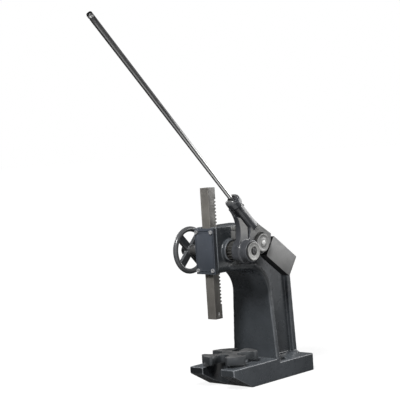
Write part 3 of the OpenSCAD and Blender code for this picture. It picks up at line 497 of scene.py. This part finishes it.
# The rod's held pair is a painted sheen on its underside, and its end colour a painted highlight
ROD_STEEL = rod_steel("rod_steel", dull=((0.024, 0.024, 0.025), (0.044, 0.044, 0.045)),
                      held=((0.20, 0.20, 0.20), (0.31, 0.31, 0.31)), spot=(0.15, 0.15, 0.15),
                      shiny=((0.36, 0.36, 0.36), (0.50, 0.50, 0.49)), end=(0.85, 0.85, 0.84))
TABLE_IRON = worn_top("table_iron", side=((0.030, 0.034, 0.038), (0.060, 0.064, 0.068)),
                      top=((0.08, 0.08, 0.082), (0.25, 0.25, 0.25)), scratched=(0.5, 0.5, 0.5),
                      rubbed=(0.38, 0.38, 0.39))
LEVER_IRON = lever_iron("lever_iron", paint=((0.036, 0.038, 0.043), (0.066, 0.069, 0.076)),
                        worn=(0.22, 0.22, 0.23), metal=((0.16, 0.16, 0.158), (0.255, 0.255, 0.25)),
                        stain=(0.085, 0.085, 0.085), cheek=(0.06, 0.06, 0.06), ears=(0.13, 0.13, 0.128))


def crisp_shading():
    """Node group that shades smooth, with sharp edges where faces turn by over the angle SHARP."""
    group = bpy.data.node_groups.new("crisp_shading", "GeometryNodeTree")
    for side in ("INPUT", "OUTPUT"):
        group.interface.new_socket("Geometry", in_out=side, socket_type="NodeSocketGeometry")
    nodes, links = group.nodes, group.links
    start, end = nodes.new("NodeGroupInput"), nodes.new("NodeGroupOutput")
    angle = nodes.new("GeometryNodeInputMeshEdgeAngle")
    sharp = nodes.new("FunctionNodeCompare")
    sharp.inputs["B"].default_value = SHARP
    normals = nodes.new("GeometryNodeSetMeshNormal")
    normals.inputs["Remove Custom"].default_value = True
    links.new(angle.outputs["Unsigned Angle"], sharp.inputs["A"])
    links.new(sharp.outputs["Result"], normals.inputs["Edge Sharpness"])
    links.new(start.outputs[0], normals.inputs["Mesh"])
    links.new(normals.outputs["Mesh"], end.inputs[0])
    return group


SHADING = crisp_shading()


def dress(node, material, bevel):
    """Gives a CAD node its material and small rounded edges."""
    obj = NODES[node]
    for slot in range(len(obj.material_slots)):
        obj.material_slots[slot].material = material
    weld = obj.modifiers.new("weld", "WELD")
    weld.merge_threshold = SAME_POINT
    edge = obj.modifiers.new("rounded_edges", "BEVEL")
    edge.width = bevel
    edge.segments = 2
    edge.limit_method = "ANGLE"
    edge.angle_limit = SHARP
    obj.modifiers.new("shading", "NODES").node_group = SHADING


def keep(obj, node, body, material):
    """Puts a new piece in the place of a CAD node."""
    obj.data.materials.clear()
    obj.data.materials.append(material)
    bpy.context.scene.collection.objects.link(obj)
    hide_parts(node)
    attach(obj, body)


def baked(obj):
    """The mesh of an object with its modifiers applied; the object itself is removed."""
    bpy.context.scene.collection.objects.link(obj)
    graph = bpy.context.evaluated_depsgraph_get()
    mesh = bpy.data.meshes.new_from_object(obj.evaluated_get(graph))
    bpy.data.objects.remove(obj)
    return mesh


def cast_copy(name, node, voxel, rounds, share):
    """Copy of a CAD node with the soft edges and fillets of a casting, cut down to a share of its faces."""
    shape = bmesh.new()
    shape.from_mesh(NODES[node].data)
    bmesh.ops.remove_doubles(shape, verts=shape.verts, dist=SAME_POINT)
    mesh = bpy.data.meshes.new(name)
    shape.to_mesh(mesh)
    shape.free()
    rough = bpy.data.objects.new(name + "_rough", mesh)
    grid = rough.modifiers.new("grid", "REMESH")
    grid.mode = "VOXEL"
    grid.voxel_size = voxel
    grid.use_smooth_shade = True
    soft = rough.modifiers.new("fillets", "SMOOTH")
    soft.factor = 0.5
    soft.iterations = rounds
    fewer = rough.modifiers.new("fewer", "DECIMATE")
    fewer.ratio = share
    done = baked(rough)
    done.name = name
    return bpy.data.objects.new(name, done)


def throat_place(y, z):
    """Depth behind the throat's face, way along it from the housing, and the direction inwards."""
    if z > ARCH.y and y < ARCH.x:
        return z - THROAT_TOP, y - ARCH.x, Vector((0, 1))
    if z > ARCH.y:
        out = Vector((y, z)) - ARCH
        return out.length - ARCH_R, ARCH_R * math.atan2(out.x, out.y), out.normalized()
    slope = FOOT_LEAN / (ARCH.y - BASE_TOP)
    down = ARCH.y - z
    return y - THROAT_Y - slope * down, ARCH_R * math.pi / 2 + down, Vector((1, slope)).normalized()


def throat_widths(vertices, places):
    """Half width of the throat's face at each step of the way along it."""
    widths = {}
    for vertex, (depth, way, _) in zip(vertices, places):
        if SKIN_FRONT < depth < SKIN_BACK and vertex.co.z > BASE_TOP:
            key = round(way / SKIN_CELL)
            widths[key] = max(widths.get(key, 0), abs(vertex.co.x))
    return widths


def round_throat(obj):
    """Rounds the two edges of the throat: broad under the arm, fading to fine down the column."""
    places = [throat_place(v.co.y, v.co.z) for v in obj.data.vertices]
    widths = throat_widths(obj.data.vertices, places)
    for vertex, (depth, way, inwards) in zip(obj.data.vertices, places):
        key = round(way / SKIN_CELL)
        if not SKIN_FRONT < depth < ROUND_REACH or key not in widths or vertex.co.z < BASE_TOP + 0.001:
            continue
        near = [widths[k] for k in range(key - 2, key + 3) if k in widths]
        fade = min(1, max(0, (way - ROUND_FADE_START) / ROUND_FADE_LONG))
        radius = ROUND_BROAD + (ROUND_FINE - ROUND_BROAD) * fade
        past = min(radius, abs(vertex.co.x) - sum(near) / len(near) + radius)
        if past <= 0:
            continue
        drop = radius - math.sqrt(max(0, radius ** 2 - past ** 2))
        shift = drop * (1 - max(0, depth) / ROUND_REACH) ** 2
        vertex.co.y += inwards.x * shift
        vertex.co.z += inwards.y * shift
    return obj


def lathe(name, profile, place, steps=96):
    """Turned piece: (radius, height) pairs spun about Z and set in place."""
    shape = bmesh.new()
    last = None
    for radius, height in profile:
        if radius < SAME_POINT:
            ring = [shape.verts.new((0, 0, height))]
        else:
            ring = [shape.verts.new((radius * math.cos(a), radius * math.sin(a), height))
                    for a in (2 * math.pi * i / steps for i in range(steps))]
        if last:
            for i in range(steps):
                corners = [last[i % len(last)], last[(i + 1) % len(last)],
                           ring[(i + 1) % len(ring)], ring[i % len(ring)]]
                shape.faces.new(list(dict.fromkeys(corners)))
        last = ring
    bmesh.ops.recalc_face_normals(shape, faces=shape.faces)
    bmesh.ops.transform(shape, matrix=place, verts=shape.verts)
    mesh = bpy.data.meshes.new(name)
    shape.to_mesh(mesh)
    shape.free()
    mesh.shade_smooth()
    mesh.set_sharp_from_angle(angle=TURNED_SHARP)
    return bpy.data.objects.new(name, mesh)


def arc(radius, height, r, start, end, steps=4):
    """Points of a rounded corner for a lathe profile, from one angle in degrees to another."""
    angles = [math.radians(start + (end - start) * i / steps) for i in range(steps + 1)]
    return [(radius + r * math.cos(a), height + r * math.sin(a)) for a in angles]


def lever_bar():
    """Lever rod: straight in the socket, widening to a rounded hand end with a turned ring below it."""
    top, mouth = ROD_TOP_U - ROD_FLOOR_U, ROD_MOUTH_U - ROD_FLOOR_U
    ring, ring_deep = top - 0.020, 0.0007
    chamfer, end_r, levels = 0.001, 0.004, 40
    profile = [(0, 0), (ROD_R - chamfer, 0), (ROD_R, chamfer), (ROD_R, mouth)]
    for i in range(1, levels + 1):
        height = mouth + (ring - mouth) * i / levels
        profile.append((ROD_R + (ROD_END_R - ROD_R) * (height - mouth) / (top - mouth), height))
    profile += [(ROD_END_R - ring_deep, ring + 0.0006), (ROD_END_R - ring_deep, ring + 0.0024),
                (ROD_END_R, ring + 0.0032)]
    profile += arc(ROD_END_R - end_r, top - end_r, end_r, 0, 90, 6)
    profile += [(0, top)]
    place = LEVER @ Matrix.Translation((ROD_X, ROD_N, ROD_FLOOR_U))
    return lathe("lever_bar", profile, place, 64)


def shaft_cap():
    """Cap on the shaft end: rounded rim, shallow turned dish and a sunk screw seat."""
    thick = CAP_HI.x - CAP_LO.x
    outer = (CAP_HI.z - CAP_LO.z) / 2
    chamfer, rim_r, dish = 0.001, 0.0022, thick - 0.0005
    profile = [(CAP_HOLE_R, 0), (outer - chamfer, 0), (outer, chamfer)]
    profile += arc(outer - rim_r, thick - rim_r, rim_r, 0, 90)
    profile += [(outer - 0.006, thick), (outer - 0.0068, dish), (CAP_SEAT_R + 0.006, dish),
                (CAP_SEAT_R + 0.0012, dish), (CAP_SEAT_R, thick - 0.0016), (CAP_SEAT_R, thick / 2),
                (CAP_HOLE_R, thick / 2), (CAP_HOLE_R, 0)]
    place = Matrix.Translation((CAP_LO.x, SHAFT.y, SHAFT.z)) @ ALONG_X
    return lathe("shaft_cap", profile, place)


def knob_disc():
    """Pawl knob: thick disc with rounded rims, a turned face and the hole for its pin."""
    thick = KNOB_HI.x - KNOB_LO.x
    outer = (KNOB_HI.z - KNOB_LO.z) / 2
    hole, back_r, front_r, chamfer, dish = KNOB_HOLE_R, 0.0025, 0.003, 0.0008, thick - 0.0006
    profile = [(hole, 0), (outer - back_r, 0)]
    profile += arc(outer - back_r, back_r, back_r, -90, 0)
    profile += arc(outer - front_r, thick - front_r, front_r, 0, 90)
    profile += [(outer - 0.008, thick), (outer - 0.009, dish), (hole + 0.006, dish), (hole + 0.005, thick),
                (hole + chamfer, thick), (hole, thick - chamfer), (hole, 0)]
    place = Matrix.Translation((KNOB_LO.x, KNOB.y, KNOB.z)) @ ALONG_X
    return lathe("knob_disc", profile, place)


press_casting = cast_copy("press_casting", "frame_casting", voxel=0.0024, rounds=5, share=0.5)
lever_casting = cast_copy("lever_casting", "lever_head", voxel=0.0013, rounds=14, share=0.4)
wheel_casting = cast_copy("wheel_casting", "handwheel", voxel=0.0013, rounds=8, share=0.4)
keep(round_throat(press_casting), "frame_casting", "frame", PAINT)
keep(lever_casting, "lever_head", "lever", LEVER_IRON)
keep(wheel_casting, "handwheel", "shaft", WHEEL_PAINT)
keep(lever_bar(), "lever_rod", "lever", ROD_STEEL)
keep(shaft_cap(), "end_cap", "shaft", CAP_IRON)
keep(knob_disc(), "pawl_knob", "pawl", KNOB_IRON)

# CAD nodes shown as they are: finish and width of the rounded edges
for node, material, bevel in (
        ("front_cover_plate", COVER_PAINT, 0.0012), ("cover_screws", SCREW_BRIGHT, 0.0008),
        ("side_gib", BRONZE, 0.0005), ("gib_screws", SCREW_DARK, 0.0005),
        ("gib_lock_nuts", SCREW_BRIGHT, 0.0006), ("right_bearing", BRONZE, 0.0006),
        ("left_bush", BRONZE, 0.0006), ("bearing_set_screws", SCREW_DARK, 0.0004),
        ("table_pivot_pin", SCREW_DARK, 0.0006), ("table_plate", TABLE_IRON, 0.0018),
        ("ram", RAM_STEEL, 0.0006), ("tool_set_screw", SCREW_BRIGHT, 0.0004),
        ("pinion_shaft", PART_STEEL, 0.0005), ("ratchet_wheel", RATCHET_DARK, 0.0007),
        ("ratchet_key", PART_STEEL, 0.0004), ("handwheel_key", PART_STEEL, 0.0004),
        ("handwheel_set_screw", SCREW_DARK, 0.0004), ("end_cap_screw", SCREW_DARK, 0.0005),
        ("lever_bush", BRONZE, 0.0006), ("rod_set_screw", SCREW_DARK, 0.0005),
        ("counterweight", WEIGHT_IRON, 0.0020), ("counterweight_bolts", SCREW_DARK, 0.0006),
        ("pawl", PAWL_STEEL, 0.0008), ("pawl_shaft", PIN_BRIGHT, 0.0006)):
    dress(node, material, bevel)


class Stage(Nodes):
    """Node tree of the floor or the world under construction."""

    def __init__(self, owner):
        super().__init__(owner)
        self.path = self.add("ShaderNodeLightPath").outputs

    def band(self, place, axis, low, high, to_low, to_high):
        """Level that changes along one direction, held at both ends."""
        return self.span(self.vector("DOT_PRODUCT", place, axis), low, high, to_low, to_high)

    def mirrored(self):
        """1 for what is seen in or through something shiny, else 0."""
        return self.most(self.path["Is Glossy Ray"], self.path["Is Transmission Ray"])

    def sheet(self, place):
        """Glow of the white sheet under the lever."""
        nearest = self.vector("MINIMUM", self.vector("MAXIMUM", place, SHEET_FRONT), SHEET_BACK)
        apart = self.vector("DISTANCE", place, nearest)
        return self.span(apart, SHEET_FULL, SHEET_END, SHEET_GLOW, 0.0)


def floor_finish():
    """Pale floor, white to the eye; in mirrors dark near the press, with the sheet, and white far off."""
    finish = bpy.data.materials.new("pale_floor")
    stage = Stage(finish)
    place = stage.coords["Object"]
    away = stage.vector("LENGTH", place)
    seen = stage.times(stage.path["Is Camera Ray"], stage.span(away, 1.0, 5.0, 0.88, 1.0))
    room = stage.times(stage.span(away, 2.0, 3.5, 0.08, 0.9),
                       stage.band(place, ROOM_AXIS, -1.2, 0.4, ROOM_DARK, 1.0))
    room = stage.most(room, stage.sheet(place))
    level = stage.math("ADD", seen, stage.times(stage.mirrored(), room))
    shader = stage.tree.nodes["Principled BSDF"]
    pale = stage.span(stage.mirrored(), 0.0, 1.0, FLOOR_PALE, FLOOR_MIRRORED)
    for key, value in (("Base Color", pale), ("Roughness", 0.9), ("Specular IOR Level", 0.0)):
        stage.feed(shader.inputs[key], value)
    glow = stage.add("ShaderNodeEmission", {"Strength": level})
    both = stage.add("ShaderNodeAddShader", {0: shader.outputs[0], 1: glow.outputs[0]})
    stage.feed(stage.tree.nodes["Material Output"].inputs["Surface"], both.outputs[0])
    return finish


def studio_floor():
    """Large flat floor that keeps a soft shadow."""
    half = FLOOR_HALF
    mesh = bpy.data.meshes.new("studio_floor")
    mesh.from_pydata([(-half, -half, 0), (half, -half, 0), (half, half, 0), (-half, half, 0)],
                     [], [(0, 1, 2, 3)])
    mesh.materials.append(floor_finish())
    floor = bpy.data.objects.new("studio_floor", mesh)
    bpy.context.scene.collection.objects.link(floor)


def studio_world():
    """Room, white to the eye; mirrors see white walls towards ROOM_AXIS, dark ones and a dim ceiling."""
    world = bpy.data.worlds.new("studio")
    bpy.context.scene.world = world
    stage = Stage(world)
    place = stage.coords["Generated"]
    room = stage.times(stage.band(place, (0, 0, 1), 0.30, 0.75, 1.0, CEILING),
                       stage.band(place, ROOM_AXIS, -0.30, 0.15, ROOM_DARK, 1.0))
    share = stage.span(stage.mirrored(), 0.0, 1.0, ROOM_FILL, 1.0)
    back = stage.tree.nodes["Background"]
    stage.feed(back.inputs["Strength"], stage.most(stage.times(room, share), stage.path["Is Camera Ray"]))
    stage.feed(back.inputs["Color"], (1, 1, 1, 1))


def softbox(name, place, aim, size, power):
    """Rectangular area lamp looking at a point."""
    lamp = bpy.data.lights.new(name, "AREA")
    lamp.shape = "RECTANGLE"
    lamp.size, lamp.size_y = size
    lamp.energy = power
    obj = bpy.data.objects.new(name, lamp)
    obj.location = place
    obj.rotation_mode = "QUATERNION"
    obj.rotation_quaternion = (Vector(aim) - Vector(place)).to_track_quat("-Z", "Y")
    obj.visible_camera = False
    bpy.context.scene.collection.objects.link(obj)


def photo_camera():
    """Camera fitted to the photograph: a long lens at the front right, slightly rolled."""
    yaw, pitch, roll = CAMERA_YAW, CAMERA_PITCH, CAMERA_ROLL
    ahead = Vector((-math.sin(yaw) * math.cos(pitch), math.cos(yaw) * math.cos(pitch), -math.sin(pitch)))
    right = Vector((math.cos(yaw), math.sin(yaw), 0))
    up = right.cross(ahead)
    across = right * math.cos(roll) - up * math.sin(roll)
    upward = right * math.sin(roll) + up * math.cos(roll)
    place = Matrix((across, upward, -ahead)).transposed().to_4x4()
    place.translation = CAMERA_PLACE
    camera = bpy.data.objects.new("photo_camera", bpy.data.cameras.new("photo_camera"))
    camera.data.lens = LENS_MM
    camera.data.sensor_width = SENSOR_MM
    camera.data.clip_end = CLIP_END
    camera.matrix_world = place
    bpy.context.scene.collection.objects.link(camera)
    bpy.context.scene.camera = camera


studio_floor()
studio_world()
for light in LIGHTS:
    softbox(*light)
photo_camera()
bpy.context.scene.view_settings.view_transform = "Standard"
